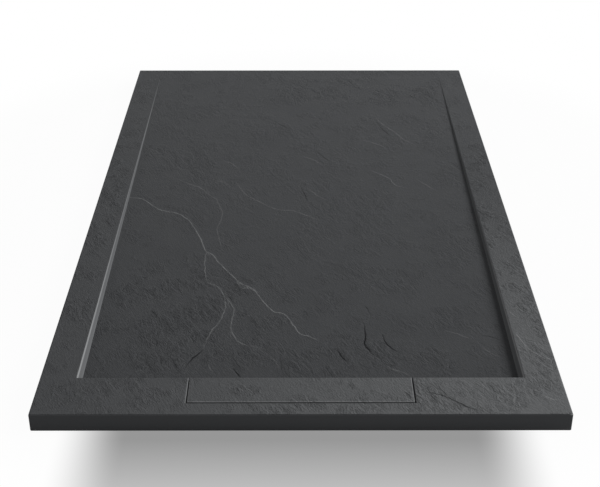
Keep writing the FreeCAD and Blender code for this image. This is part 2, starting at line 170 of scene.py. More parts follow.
panel_data = bpy.data.lights.new("soft_panel", "AREA")
panel_data.shape = "RECTANGLE"
panel_data.size, panel_data.size_y = PANEL_SIZE
panel_data.energy = PANEL_POWER
panel = placed("soft_panel", panel_data)
panel.location = PANEL_PLACE
panel.rotation_euler = (-PANEL_PLACE).to_track_quat("-Z", "Y").to_euler()
print("one soft panel,", PANEL_SIZE[0], "by", PANEL_SIZE[1], "m")


# %% Lay the floor
FLOOR_REACH = 12.0
FLOOR_DROP = 0.0004
FLOOR_PALE = (0.55, 0.55, 0.55, 1)
SHADOW_SHARE = 0.035
SHADOW_FADE = (0.75, 1.0)
# The patch sizes place a painted shadow: grey laid into the floor's colour in front of the tray.
PATCH_HALF = (0.255, 0.365)
PATCH_START = (-0.66, -0.70)
PATCH_END = (-0.83, -1.0)
PATCH_ALONG = (-0.72, -0.84)
PAINTED_SHADOW_GREYS = (0.31, 0.53)


def painted_front_shadow(tree, place):
    """(1 in the painted shadow in front of the drain end, fading out at its two ends; the painted shadow's
    grey).
    """
    x, y, _ = split(tree, place)
    between = ramp(tree, maths(tree, "ABSOLUTE", x), *PATCH_HALF, 1.0, 0.0)
    grey = ramp(tree, y, *PATCH_ALONG, *PAINTED_SHADOW_GREYS, soft=False)
    starts = ramp(tree, y, *PATCH_START)
    ends = ramp(tree, y, *PATCH_END, 1.0, 0.0)
    return times(tree, between, starts, ends), grey


def floor_material():
    """White where it is only seen, painted shadow grey in the patch, and real shade where the tray keeps
    light off it.
    """
    material = bpy.data.materials.new("pale_floor")
    material.use_nodes = True
    tree = material.node_tree
    tree.nodes.clear()
    place = add(tree, "ShaderNodeTexCoord").outputs["Object"]
    lit = add(tree, "ShaderNodeBsdfDiffuse", {"Color": FLOOR_PALE})
    # Painted shadow: the patch's grey goes into the floor's glow and is not cast by a lamp.
    painted_shadow, grey = painted_front_shadow(tree, place)
    level = ramp(tree, painted_shadow, 0.0, 1.0, 1.0, grey, soft=False)
    glow = add(tree, "ShaderNodeEmission", {"Color": level, "Strength": 1.0})
    clear = add(tree, "ShaderNodeBsdfTransparent")
    keep = ramp(tree, length(tree, place), *SHADOW_FADE, 1 - SHADOW_SHARE, 1.0)
    seen = times(tree, maths(tree, "MAXIMUM", keep, painted_shadow), seen_ray(tree))
    top = add(tree, "ShaderNodeMixShader", {0: seen, 1: lit.outputs[0], 2: glow.outputs[0]})
    below = add(tree, "ShaderNodeNewGeometry").outputs["Backfacing"]
    both = add(tree, "ShaderNodeMixShader", {0: below, 1: top.outputs[0], 2: clear.outputs[0]})
    add(tree, "ShaderNodeOutputMaterial", {"Surface": both.outputs[0]})
    return material


floor_mesh = bpy.data.meshes.new("stage_floor")
half = FLOOR_REACH / 2
square = [(-half, -half), (half, -half), (half, half), (-half, half)]
floor_mesh.from_pydata([(x, y, -FLOOR_DROP) for x, y in square], [], [(0, 1, 2, 3)])
floor_mesh.materials.append(floor_material())
stage_floor = placed("stage_floor", floor_mesh)
print("floor", FLOOR_REACH, "m square")

# %% [markdown]
# ## The slab's form
# The top of the casting is a landscape seen from above: a level frame, a rounded outer edge, bevelled and
# drafted walls, and a floor that leaves the frame's level at the far end and falls to the drain. The
# walls and their bevels grow with the fall, from nothing at the two far corners. One net of lines, close
# together where the form bends and a couple of millimetres apart elsewhere, carries all of it. Where two
# walls meet, the higher of their two heights wins, and that makes a clean mitre by itself. The net is
# cut into a frame and two halves of the floor, so that no mesh grows too heavy.

# %% Sizes of the slab
MM = 0.001
low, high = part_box("tray_body")
HALF_WIDTH, HALF_LENGTH, TOP = high
FRAME_WIDTH = 56 * MM
DRAIN_BORDER = 92 * MM
DRAIN_DEPTH = 15 * MM
WALL_SLOPE = math.tan(math.radians(12))
RIM_BEVEL = 2 * MM
BEVEL_EASE = 0.35 * MM
FOOT_EASE = 0.6 * MM
EDGE = 2 * MM
CORNER = 2.2 * MM
SLOT_HALF = 171.5 * MM
SLOT_FRONT = -672 * MM
SLOT_EASE = 0.5 * MM
NET_STEP = 2.15 * MM
LEAST_WALL = 0.03  # keeps a wall's lines apart where the wall has no height yet

recess_x = HALF_WIDTH - FRAME_WIDTH
recess_far = HALF_LENGTH - FRAME_WIDTH
recess_drain = -HALF_LENGTH + DRAIN_BORDER
print("sunk floor", round(2000 * recess_x), "by", round(1000 * (recess_far - recess_drain)), "mm")


# %% The fall of the floor and the walls that grow with it
ARC_POINTS = 6
FLOOR_START = RIM_BEVEL + (DRAIN_DEPTH - RIM_BEVEL) * WALL_SLOPE + FOOT_EASE


def fall_share(y):
    """0 where the floor leaves the frame's level at the far end, 1 at the drain end and beyond."""
    return np.clip((recess_far - y) / (recess_far - recess_drain), 0, 1)


def wall_lines():
    """(inward, down) of each line of a wall at the drain end: bevel, drafted wall, foot."""
    levels = (BEVEL_EASE, RIM_BEVEL - BEVEL_EASE, RIM_BEVEL + 2 * BEVEL_EASE, DRAIN_DEPTH / 2,
              DRAIN_DEPTH - FOOT_EASE)
    return [(-BEVEL_EASE, 0.0)] + [(min(d, RIM_BEVEL) + max(0.0, d - RIM_BEVEL) * WALL_SLOPE, d)
                                   for d in levels]


def spaced(start, end, step=NET_STEP):
    """Even places from start up to, but without, end."""
    count = max(1, round(abs(end - start) / step))
    return list(np.linspace(start, end, count + 1)[:-1])


WALL_LINES = wall_lines()
print("each wall has", len(WALL_LINES), "lines")

# %% [markdown]
# Each line of the net has a kind: outer edge, frame, wall or floor. Lines that run along the tray shift
# a little with the floor's depth, because a wall takes more room in plan as it grows.

# %% Lines of the net
OUTER, FRAME, WALL, FLOOR = range(4)
edge_turn = np.linspace(math.pi / 2, 0, ARC_POINTS)


def half_lines():
    """The lines from the outer side in to the middle: kind, and place or number in the wall."""
    lines = [(OUTER, i) for i in range(ARC_POINTS)]
    lines += [(FRAME, x) for x in spaced(HALF_WIDTH - EDGE, recess_x + BEVEL_EASE)[1:]]
    lines += [(WALL, i) for i in range(len(WALL_LINES))]
    foot = recess_x - FLOOR_START
    places = spaced(foot, SLOT_HALF + SLOT_EASE) + [SLOT_HALF + SLOT_EASE] + spaced(SLOT_HALF, 0)
    lines += [(FLOOR, x / foot) for x in places]
    return lines


def column_lines():
    """All lines across the tray, from -X to +X, as (side, kind, value)."""
    one = half_lines()
    return [(-1, *line) for line in one] + [(1, FLOOR, 0.0)] + [(1, *line) for line in reversed(one)]


def row_lines():
    """All lines along the tray, from the drain end to the far end, as (kind, place or end, number)."""
    rows = [(OUTER, -1, i) for i in range(ARC_POINTS)]
    front = SLOT_FRONT - SLOT_EASE
    rows += [(FRAME, y, 0) for y in spaced(-HALF_LENGTH + EDGE, front)[1:]]
    rows += [(FRAME, y, 0) for y in [front] + spaced(SLOT_FRONT, recess_drain - BEVEL_EASE)]
    rows += [(WALL, recess_drain, i) for i in range(len(WALL_LINES))]
    rows += [(FLOOR, y, 0) for y in spaced(recess_drain + FLOOR_START, 0.0) + spaced(0.0, recess_far)]
    rows += [(FRAME, y, 0) for y in spaced(recess_far, HALF_LENGTH - EDGE)]
    return rows + [(OUTER, 1, i) for i in reversed(range(ARC_POINTS))]


columns = column_lines()
rows = row_lines()
print("net of", len(columns), "by", len(rows), "lines")


# %% Heights of the net
UNDER_ALL = -1.0


def row_place(kind, where, number):
    """(y, height over the recess, height of the outer edge) of a line across the tray."""
    if kind == OUTER:
        y = where * (HALF_LENGTH - EDGE + EDGE * math.sin(edge_turn[number]))
        return y, TOP, TOP - EDGE + EDGE * math.cos(edge_turn[number])
    if kind == WALL:
        inward, down = WALL_LINES[number]
        return where + inward, TOP - down, TOP
    return where, TOP if kind == FRAME else UNDER_ALL, TOP


def column_place(side, kind, value, grown):
    """(x, height over the recess, height of the outer edge) of a line along the tray."""
    if kind == OUTER:
        x = HALF_WIDTH - EDGE + EDGE * math.sin(edge_turn[value])
        return side * x, TOP, TOP - EDGE + EDGE * math.cos(edge_turn[value])
    if kind == WALL:
        inward, down = WALL_LINES[value]
        return side * (recess_x - inward * max(grown, LEAST_WALL)), TOP - down * grown, TOP
    if kind == FRAME:
        return side * value, TOP, TOP
    return side * value * (recess_x - FLOOR_START * max(grown, LEAST_WALL)), TOP - DRAIN_DEPTH * grown, TOP


def net_points():
    """The net's corners as an array of rows by columns by (x, y, z)."""
    points = np.zeros((len(rows), len(columns), 3))
    for j, row in enumerate(rows):
        y, over_recess, outer = row_place(*row)
        grown = float(fall_share(y))
        for i, column in enumerate(columns):
            x, x_recess, x_outer = column_place(*column, grown)
            points[j, i] = x, y, min(outer, x_outer, max(over_recess, x_recess))
    return points


net = net_points()
print("lowest point of the floor", round(1000 * net[..., 2].min(), 1), "mm above the bed")

# %% [markdown]
# The corners seen from above are rounded by squeezing the last few millimetres of the net from a square
# onto a quarter circle. The lid's slot gets a small eased edge.


# %% Round the corners and ease the slot
def round_corners(points):
    """Squeezes each outer corner of the net onto an arc."""
    reach_x = np.abs(points[..., 0]) - (HALF_WIDTH - CORNER)
    reach_y = np.abs(points[..., 1]) - (HALF_LENGTH - CORNER)
    inside = (reach_x > 0) & (reach_y > 0)
    shrink = np.where(inside, np.maximum(reach_x, reach_y) / np.hypot(reach_x, reach_y), 1)
    for axis, reach, size in ((0, reach_x, HALF_WIDTH), (1, reach_y, HALF_LENGTH)):
        moved = np.sign(points[..., axis]) * (size - CORNER + reach * shrink)
        points[..., axis] = np.where(inside, moved, points[..., axis])


TINY = 1e-6
NEAR = 0.1 * MM
round_corners(net)
on_end = (np.abs(np.abs(net[..., 0]) - SLOT_HALF) < NEAR) & (net[..., 1] > SLOT_FRONT - TINY)
on_front = (np.abs(net[..., 1] - SLOT_FRONT) < NEAR) & (np.abs(net[..., 0]) < SLOT_HALF + NEAR)
eased = (on_end | on_front) & (net[..., 1] < recess_drain + BEVEL_EASE)
net[..., 2] = np.where(eased, np.minimum(net[..., 2], TOP - SLOT_EASE), net[..., 2])
print(int(eased.sum()), "corners lie on the slot's eased edge")


# %% [markdown]
# Relief must not nibble at the straight edges, so every corner of the net carries a share from 0 to 1
# that says how much of the slate's relief it may take. It fades out over a few millimetres towards each
# edge, as the sanded edges of the real tray do. A second number says how strongly the stone is cleft
# there: the lid and the border at the drain are rough, the middle of the floor is almost smooth.

# %% Share of the relief and of the clefts at each point
EDGE_FADE = 6 * MM
FLOOR_FADE = 2.5 * MM
FULL_WALL = 0.25  # the share of the fall from which on a wall keeps the relief off wholly
CALM = 0.3
CLEFT_ZONES = [  # middle, half size and strength, in millimetres seen from above
    ((-185, -420), (190, 210), 0.85), ((120, -655), (340, 62), 1.0), ((376, -200), (40, 600), 1.1),
    ((-300, -655), (160, 62), 0.65), ((-376, -60), (40, 700), 0.8), ((150, 560), (300, 110), 0.6),
    ((-250, 150), (120, 260), 0.5), ((90, -540), (200, 90), 0.6),
]


def fade(distance, width):
    """0 at and beyond an edge, rising smoothly to 1."""
    share = np.clip(distance / width, 0, 1)
    return share * share * (3 - 2 * share)


def relief_share(points):
    """How much relief each point of the tray's top may take."""
    x, y = np.abs(points[..., 0]), points[..., 1]
    grown = fall_share(y)
    outer = np.minimum(HALF_WIDTH - EDGE - x, HALF_LENGTH - EDGE - np.abs(y))
    beyond_wall = np.maximum(x - recess_x, recess_drain - y) - BEVEL_EASE
    before_wall = np.minimum(recess_x - FLOOR_START * grown - x, y - recess_drain - FLOOR_START)
    beside_wall = np.maximum(fade(beyond_wall, EDGE_FADE), fade(before_wall, FLOOR_FADE))
    wall_share = 1 - (1 - beside_wall) * np.clip(grown / FULL_WALL, 0, 1)
    beside_slot = fade(np.maximum(x - SLOT_HALF, SLOT_FRONT - y) - SLOT_EASE, EDGE_FADE)
    slot_share = np.where(y < recess_drain + FLOOR_START / 2, beside_slot, 1)
    return fade(outer, EDGE_FADE) * wall_share * slot_share


def cleft_share(points):
    """How rough the split stone is at each point, from calm to 1."""
    strongest = np.full(points.shape[:-1], CALM)
    for (x, y), (half_x, half_y), strength in CLEFT_ZONES:
        across = (points[..., 0] - x * MM) / (half_x * MM)
        along = (points[..., 1] - y * MM) / (half_y * MM)
        strongest = np.maximum(strongest, strength * np.exp(-(across ** 2 + along ** 2) ** 2))
    return strongest


share = relief_share(net)
cleft = cleft_share(net)
print("mean share of relief", round(float(share.mean()), 2), "and of clefts", round(float(cleft.mean()), 2))


# %% Cut the net into pieces
column_kind = np.array([line[1] for line in columns])
row_kind = np.array([line[0] for line in rows])


def quads(keep):
    """The quads of a net whose cells a test keeps, as corner numbers, anticlockwise from above."""
    j, i = np.nonzero(keep)
    width = keep.shape[1] + 1
    first = j * width + i
    return np.stack([first, first + 1, first + width + 1, first + width], 1)


def cell_tests():
    """Which cells of the net are floor, lie over the slot for the lid, or lie in the far half."""
    floor_cells = ((column_kind[:-1] == FLOOR) & (column_kind[1:] == FLOOR))[None, :] \
        & ((row_kind[:-1] == FLOOR) & (row_kind[1:] == FLOOR))[:, None]
    middle = (net[1:, 1:, :] + net[:-1, :-1, :]) / 2
    slot_cells = (np.abs(middle[..., 0]) < SLOT_HALF) & (middle[..., 1] > SLOT_FRONT) \
        & (middle[..., 1] < recess_drain + FLOOR_START)
    return floor_cells, slot_cells, middle[..., 1] > 0


floor_cells, slot_cells, far_cells = cell_tests()
print(int(floor_cells.sum()), "floor cells,", int((~floor_cells & ~slot_cells).sum()), "frame cells")


# %% Make meshes from cells of the net
def carry(mesh, label, values):
    """Leaves a number on each point of a mesh."""
    layer = mesh.attributes.new(label, "FLOAT", "POINT")
    layer.data.foreach_set("value", np.asarray(values, np.float32))


def object_from(name, vertices, faces, shares, clefts):
    """A smooth mesh object that carries the shares of relief and of clefts."""
    mesh = bpy.data.meshes.new(name)
    mesh.from_pydata(vertices, [], faces)
    mesh.polygons.foreach_set("use_smooth", np.ones(len(mesh.polygons), bool))
    carry(mesh, "relief_share", shares)
    carry(mesh, "cleft", clefts)
    return placed(name, mesh)


def piece_of_net(name, keep):
    """One piece of the net, without the points that it doesn't use."""
    faces = quads(keep)
    used, corners = np.unique(faces, return_inverse=True)
    points = net.reshape(-1, 3)[used]
    return object_from(name, points.tolist(), corners.reshape(-1, 4).tolist(),
                       share.reshape(-1)[used], cleft.reshape(-1)[used])


def copied(mesh):
    """A bmesh copy of a mesh."""
    body = bmesh.new()
    body.from_mesh(mesh)
    return body


def written(body, mesh):
    """Puts a bmesh back into a mesh."""
    body.to_mesh(mesh)
    body.free()


def pulled(body, rim):
    """New faces out of a rim of edges: (the new rim, its corners)."""
    made = bmesh.ops.extrude_edge_only(body, edges=rim)["geom"]
    new_rim = [part for part in made if isinstance(part, bmesh.types.BMEdge)]
    return new_rim, {corner for edge in new_rim for corner in edge.verts}


BED_CHAMFER = 1 * MM
SIDE_LEVELS = (15 * MM, BED_CHAMFER, 0.0)


def add_sides(tray_top):
    """Runs the outer edge down to the bed, with the small chamfer at its foot."""
    body = copied(tray_top.data)
    rim = [e for e in body.edges if e.is_boundary
           and all(v.co.z < TOP - EDGE + TINY and max(abs(v.co.x) - HALF_WIDTH,
                                                      abs(v.co.y) - HALF_LENGTH) > -CORNER for v in e.verts)]
    for level in SIDE_LEVELS:
        rim, corners = pulled(body, rim)
        for corner in corners:
            corner.co.z = level
            if level == 0.0:
                corner.co.x *= 1 - BED_CHAMFER / HALF_WIDTH
                corner.co.y *= 1 - BED_CHAMFER / HALF_LENGTH
    written(body, tray_top.data)


slate_frame = piece_of_net("slate_frame", ~floor_cells & ~slot_cells)
slate_floor_drain_half = piece_of_net("slate_floor_drain_half", floor_cells & ~far_cells)
slate_floor_far_half = piece_of_net("slate_floor_far_half", floor_cells & far_cells)
add_sides(slate_frame)
for made in (slate_frame, slate_floor_drain_half, slate_floor_far_half):
    print(made.name, len(made.data.polygons), "faces")

# %% [markdown]
# ## The lid
# The lid is cut from the same slate-faced casting, so its top takes the same relief, and the grain runs
# on across the joint. Three edges are eased a little, and its rear edge carries on the bevel of the
# recess, so that the line of the drain wall runs through.

# %% Build the lid's top
lid_low, lid_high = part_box("drain_cover")
LID_EASE = 0.6 * MM
LID_SKIRT = 21 * MM  # below this height the lid keeps the CAD's own faces


def lid_lines():
    """(y, z) of the lines across the lid, from its front edge to its bevelled rear edge."""
    rim = lid_high.y - RIM_BEVEL
    front = [(lid_low.y, TOP - LID_EASE)]
    flat = [(y, TOP) for y in spaced(lid_low.y + LID_EASE, rim - BEVEL_EASE)]
    rear = [(rim + inward, TOP - down) for inward, down in WALL_LINES[:3]]
    return front + flat + rear + [(lid_high.y, TOP - RIM_BEVEL - BEVEL_EASE)]


def lid_top():
    """The lid's top as a net of its own, with its sides run down to the skirt line."""
    ease = LID_EASE / 2
    xs = [lid_low.x] + spaced(lid_low.x + ease, lid_high.x - ease) + [lid_high.x - ease, lid_high.x]
    lines = lid_lines()
    points = np.array([[(x, y, z if lid_low.x < x < lid_high.x else min(z, TOP - ease)) for x in xs]
                       for y, z in lines])
    to_side = lid_high.x - LID_EASE - np.abs(points[..., 0])
    to_front = points[..., 1] - lid_low.y - LID_EASE
    to_rear = lid_high.y - RIM_BEVEL - BEVEL_EASE - points[..., 1]
    inside = np.minimum(to_side, np.minimum(to_front, to_rear))
    faces = quads(np.ones((len(lines) - 1, len(xs) - 1), bool))
    top = object_from("slate_lid", points.reshape(-1, 3).tolist(), faces.tolist(),
                      fade(inside, EDGE_FADE).reshape(-1), cleft_share(points).reshape(-1))
    body = copied(top.data)
    for corner in pulled(body, [edge for edge in body.edges if edge.is_boundary])[1]:
        corner.co.z = LID_SKIRT
    written(body, top.data)
    return top


slate_lid = lid_top()
print("lid", len(slate_lid.data.polygons), "faces")

# %% [markdown]
# ## Undersides and channel
# Below the slate face the casting is plain. Those faces are taken from a merged copy of the CAD mesh,
# cut along the lines where the new net takes over.


# %% Take plain faces from a copy of a CAD node
ON_CUT = 1e-7
RELIEF_HEIGHT = 5 * MM


def cad_copy(name, node, cuts, keep):
    """A merged copy of a node, cut by planes, with only the faces that a test keeps."""
    body = copied(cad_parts[node].data)
    bmesh.ops.remove_doubles(body, verts=body.verts, dist=TINY)
    for place, normal in cuts:
        everything = body.verts[:] + body.edges[:] + body.faces[:]
        bmesh.ops.bisect_plane(body, geom=everything, dist=ON_CUT, plane_co=place, plane_no=normal)
    drop = [face for face in body.faces if not keep(face.calc_center_median())]
    bmesh.ops.delete(body, geom=drop, context="FACES")
    mesh = bpy.data.meshes.new(name)
    written(body, mesh)
    return placed(name, mesh)


mouth = recess_drain + FLOOR_START
casting_cuts = [((0, mouth, 0), (0, 1, 0)), ((0, SLOT_FRONT, 0), (0, 1, 0)),
                ((-SLOT_HALF, 0, 0), (1, 0, 0)), ((SLOT_HALF, 0, 0), (1, 0, 0)),
                ((0, 0, TOP - SLOT_EASE), (0, 0, 1))]


def keeps_casting(place):
    """The bed face with its relief, and all faces of the channel below the eased edge."""
    in_slot = abs(place.x) < SLOT_HALF + TINY and SLOT_FRONT - TINY < place.y < mouth + TINY
    return place.z < TINY or (in_slot and place.z < TOP - SLOT_EASE) or (
        place.z < RELIEF_HEIGHT and abs(place.x) < HALF_WIDTH - 2 * BED_CHAMFER
        and abs(place.y) < HALF_LENGTH - 2 * BED_CHAMFER)


def keeps_skirt(place):
    """The lid's own faces below the skirt line."""
    return place.z < LID_SKIRT


casting_channel = cad_copy("casting_channel", "tray_body", casting_cuts, keeps_casting)
lid_back = cad_copy("lid_back", "drain_cover", [((0, 0, LID_SKIRT), (0, 0, 1))], keeps_skirt)
for made in (casting_channel, lid_back):
    print(made.name, len(made.data.polygons), "faces")

# %% [markdown]
# ## Veins of the slate
# Pale veins and thin cracks are placed where the photograph shows them, in millimetres from the
# middle of the tray. Each has a strength, which falls to a half at its first point and to a tenth at its
# last. Pale veins stand a little proud and have a plus sign, and cracks a minus sign.

# %% Draw the veins
VEINS = [
    (0.82, [(-340, 14), (-315, 8), (-293, -18), (-275, -37), (-258, -45), (-234, -57), (-216, -79),
           (-202, -111), (-188, -149), (-178, -187), (-173, -201), (-160, -212), (-149, -237),
           (-133, -265), (-114, -296), (-99, -316), (-81, -332), (-66, -365), (-45, -401), (-28, -409),
           (-11, -444), (-1, -468), (12, -474), (28, -485)]),
    (0.5, [(-112, -303), (-104, -326), (-93, -326), (-84, -332)]),
    (0.6, [(-173, -205), (-173, -244), (-168, -286), (-161, -311), (-146, -319), (-134, -345),
           (-128, -377), (-129, -402), (-137, -435), (-149, -465), (-157, -510)]),
    (0.55, [(-129, -345), (-121, -371), (-113, -396), (-115, -426), (-115, -453), (-104, -485),
            (-90, -499), (-61, -508)]),
    (0.45, [(-115, -453), (-119, -476)]),
    (-0.9, [(-160, -516), (-166, -527), (-173, -537), (-182, -561)]),
    (0.3, [(-229, 73), (-203, 57), (-185, 27), (-168, 8), (-160, -18), (-152, -47), (-153, -79),
            (-158, -115), (-150, -164), (-143, -190)]),
    (0.4, [(-126, 69), (-108, 25), (-88, 3), (-63, -22), (-39, -39), (-12, -43), (15, -63), (35, -80)]),
    (0.3, [(-168, 87), (-155, 78), (-142, 55)]),
    (0.35, [(18, 55), (36, 20), (54, 3)]),
    (-0.6, [(2, 55), (10, 24), (14, -6)]),
    (-0.5, [(-112, -91), (-100, -103)]),
    (0.4, [(-97, -104), (-84, -102)]),
    (-0.35, [(-109, -241), (-90, -279)]),
    (0.4, [(175, 407), (187, 370), (212, 324), (231, 285), (256, 254)]),
    (-0.5, [(175, 376), (190, 328), (209, 296)]),
    (0.45, [(138, 285), (170, 262), (195, 234)]),
    (0.5, [(151, 132), (171, 113), (185, 95), (194, 68), (213, 57)]),
    (0.35, [(242, 91), (260, 64), (273, 46)]),
    (0.45, [(11, 199), (32, 182), (48, 156)]),
    (-0.45, [(35, 229), (51, 197), (72, 165)]),
    (-0.45, [(-59, 387), (-39, 360), (-17, 338)]),
    (0.35, [(-74, 444), (-57, 410)]),
    (0.4, [(-159, 180), (-142, 166), (-125, 133)]),
    (0.35, [(-252, 96), (-225, 73), (-198, 51), (-177, 25)]),
    (0.35, [(-164, 91), (-148, 73), (-140, 57)]),
    (-1.0, [(112, -387), (119, -411)]),
    (-1.0, [(106, -447), (106, -477), (104, -497), (110, -513), (118, -531)]),
    (-1.0, [(134, -473), (139, -495), (145, -505), (156, -520)]),
    (-1.0, [(59, -512), (66, -533), (75, -547)]),
    (-1.0, [(-106, -565), (-98, -578), (-93, -590)]),
    (-0.7, [(192, -645), (209, -652), (226, -664), (245, -680), (264, -692)]),
    (0.45, [(133, -560), (153, -570), (173, -585)]),
    (0.3, [(242, -459), (259, -468), (271, -477), (283, -483)]),
    (-0.5, [(299, -473), (312, -477), (325, -486)]),
    (0.35, [(296, -508), (307, -524), (321, -533)]),
    (1.3, [(350, -489), (356, -511), (365, -534), (380, -553), (396, -562)]),
    (0.9, [(350, -422), (354, -431), (360, -444)]),
    (0.6, [(322, -616), (321, -650), (317, -670), (317, -689)]),
    (1.1, [(366, -655), (375, -664), (387, -663)]),
    (-0.6, [(363, -664), (371, -676)]),
    (-0.5, [(-266, -585), (-261, -575)]),
    (0.4, [(-258, -571), (-252, -567), (-246, -578)]),
    (-0.4, [(-245, -408), (-232, -429)]),
    (0.35, [(-210, -502), (-195, -507)]),
    (0.35, [(-217, -441), (-205, -465)]),
    (0.4, [(-49, -532), (-39, -546), (-34, -565)]),
    (0.35, [(-146, -554), (-143, -562), (-139, -572)]),
    (0.35, [(-121, -519), (-103, -540)]),
    (-0.8, [(-400, -100), (-378, -144)]),
]
TAPER = (0.5, 0.1)


def vein_lines():
    """All veins as lines of edges at level 0, whose points carry their strength."""
    points, edges, strengths = [], [], []
    for strength, places in VEINS:
        start = len(points)
        points += [(x * MM, y * MM, 0) for x, y in places]
        edges += [(start + i, start + i + 1) for i in range(len(places) - 1)]
        strengths += [TAPER[0] * strength] + [strength] * (len(places) - 2) + [TAPER[1] * strength]
    mesh = bpy.data.meshes.new("vein_lines")
    mesh.from_pydata(points, edges, [])
    carry(mesh, "strength", strengths)
    made = placed("vein_lines", mesh)
    made.hide_render = True
    return made


veins = vein_lines()
print(len(VEINS), "veins")

# %% [markdown]
# ## Relief of the slate
# A Geometry Nodes tree lifts and lowers the net. It adds four things: the short strokes of the grain,
# low waves, small steps where layers of stone broke away, and the veins. The same tree dresses the
# frame, the floor and the lid, and it reads only the place of a point, so the relief runs on from one
# piece to the next. A vein is much thinner than the net, so the tree also leaves two numbers at each
# point, its signed distance from the nearest vein and that vein's strength, and the finish draws the
# line from them.

# %% Inputs of the relief tree
RELIEF_INPUTS = {
    "Grain Height": 0.16 * MM,
    "Grain Length": 26 * MM,
    "Grain Width": 7 * MM,
    "Grain Angle": math.radians(64),
    "Wave Height": 0.5 * MM,
    "Step Height": 0.55 * MM,
    "Vein Width": 5 * MM,
    "Vein Height": 0.3 * MM,
    "Vein Wander": 5 * MM,
    "Lowering": 0.3 * MM,
}


def open_tree(name, kind, given, numbers, results):
    """(tree, its input sockets, its output node); numbers are inputs with a plain value."""
    tree = bpy.data.node_groups.new(name, kind)
    for label, what in given.items():
        tree.interface.new_socket(label, in_out="INPUT", socket_type="NodeSocket" + what)
    for label, value in numbers.items():
        socket = tree.interface.new_socket(label, in_out="INPUT", socket_type="NodeSocketFloat")
        socket.default_value = value
    for label, what in results.items():
        tree.interface.new_socket(label, in_out="OUTPUT", socket_type="NodeSocket" + what)
    return tree, add(tree, "NodeGroupInput").outputs, add(tree, "NodeGroupOutput")


def shape_tree(name, numbers):
    """An empty Geometry Nodes tree with a named input for each number and one for the finish."""
    return open_tree(name, "GeometryNodeTree", {"Geometry": "Geometry", "Finish": "Material"}, numbers,
                     {"Geometry": "Geometry"})


def finish_tree(tree, geometry, given, end):
    """Ends a Geometry Nodes tree: one real mesh with the finish laid on."""
    real = add(tree, "GeometryNodeRealizeInstances", {0: geometry}).outputs[0]
    done = add(tree, "GeometryNodeSetMaterial", {"Geometry": real, "Material": given["Finish"]})
    wire(tree, end, {0: done.outputs[0]})
    return tree


def vector_maths(tree, operation, first, second):
    """A Vector Math node's vector result."""
    return add(tree, "ShaderNodeVectorMath", {0: first, 1: second}, operation=operation).outputs[0]


def flattened(tree, vector):
    """A vector with its z taken out."""
    return vector_maths(tree, "MULTIPLY", vector, (1, 1, 0))


def texture(tree, vector, detail, roughness=0.5):
    """The outputs of a noise texture whose features are about 1 wide."""
    return add(tree, "ShaderNodeTexNoise", {"Vector": vector, "Scale": 1.0, "Detail": detail,
                                            "Roughness": roughness}).outputs


def noise(tree, vector, size, detail=3.0, roughness=0.55, output=0):
    """Noise whose features are about one size wide."""
    scaled = vector_maths(tree, "MULTIPLY", vector, (1 / size,) * 3)
    return texture(tree, scaled, detail, roughness)[output]


def about_zero(tree, value, height):
    """Turns a noise value into a height about 0."""
    return times(tree, maths(tree, "SUBTRACT", value, 0.5), times(tree, height, 2.0))


def stored(tree, name):
    """A number that each point carries."""
    return add(tree, "GeometryNodeInputNamedAttribute", {"Name": name}, data_type="FLOAT").outputs[0]


def with_number(tree, geometry, name, value):
    """Leaves a number on each point."""
    return add(tree, "GeometryNodeStoreNamedAttribute", {"Geometry": geometry, "Name": name, "Value": value},
               data_type="FLOAT", domain="POINT").outputs[0]


print("the relief has", len(RELIEF_INPUTS), "named sizes")


# %% Grain and steps of the relief
BROKEN_STEPS = {"squeeze": 0.45, "size": 60 * MM, "detail": 6.0, "roughness": 0.55, "levels": 9.0,
                "drop": 0.86}


def to_grain(tree, vector, angle):
    """A place turned so that its x runs along the grain."""
    return add(tree, "ShaderNodeVectorRotate", {"Vector": vector, "Angle": angle},
               rotation_type="Z_AXIS").outputs[0]


def stretched(tree, vector, *sizes):
    """A place divided by a size along each direction, so that noise on it is drawn out."""
    shares = [maths(tree, "DIVIDE", part, size) for part, size in zip(split(tree, vector), sizes)]
    return add(tree, "ShaderNodeCombineXYZ", dict(enumerate(shares))).outputs[0]


def teeth(tree, turned, squeeze, size, detail, roughness, levels, drop):
    """A gentle rise and a sharp drop, again and again, as thin layers break off in steps."""
    squeezed = vector_maths(tree, "MULTIPLY", turned, (squeeze, 1.0, 1.0))
    within = maths(tree, "FRACT", times(tree, noise(tree, squeezed, size, detail, roughness), levels))
    return maths(tree, "SUBTRACT", within, ramp(tree, within, drop, 1.0))


print("grain and steps are ready")

# %% [markdown]
# The veins are read as points along smooth curves. For each corner of the net, the nearest of these
# points gives the distance and the strength, and the side on which the corner lies gives the sign.


# %% Veins of the relief
WANDER_SIZE = 14 * MM
DOT_STEP = 1.5 * MM


def at_nearest(tree, dots, index, value, kind):
    """What the nearest point of the veins carries."""
    return add(tree, "GeometryNodeSampleIndex", {"Geometry": dots.outputs[0], "Index": index, "Value": value},
               data_type=kind, domain="POINT").outputs[0]


def side_of(tree, along, away):
    """Plus or minus 1 for the left or right side of a line that runs along a direction."""
    (along_x, along_y, _), (away_x, away_y, _) = split(tree, along), split(tree, away)
    turn = maths(tree, "SUBTRACT", times(tree, along_x, away_y), times(tree, along_y, away_x))
    return maths(tree, "SIGN", turn)


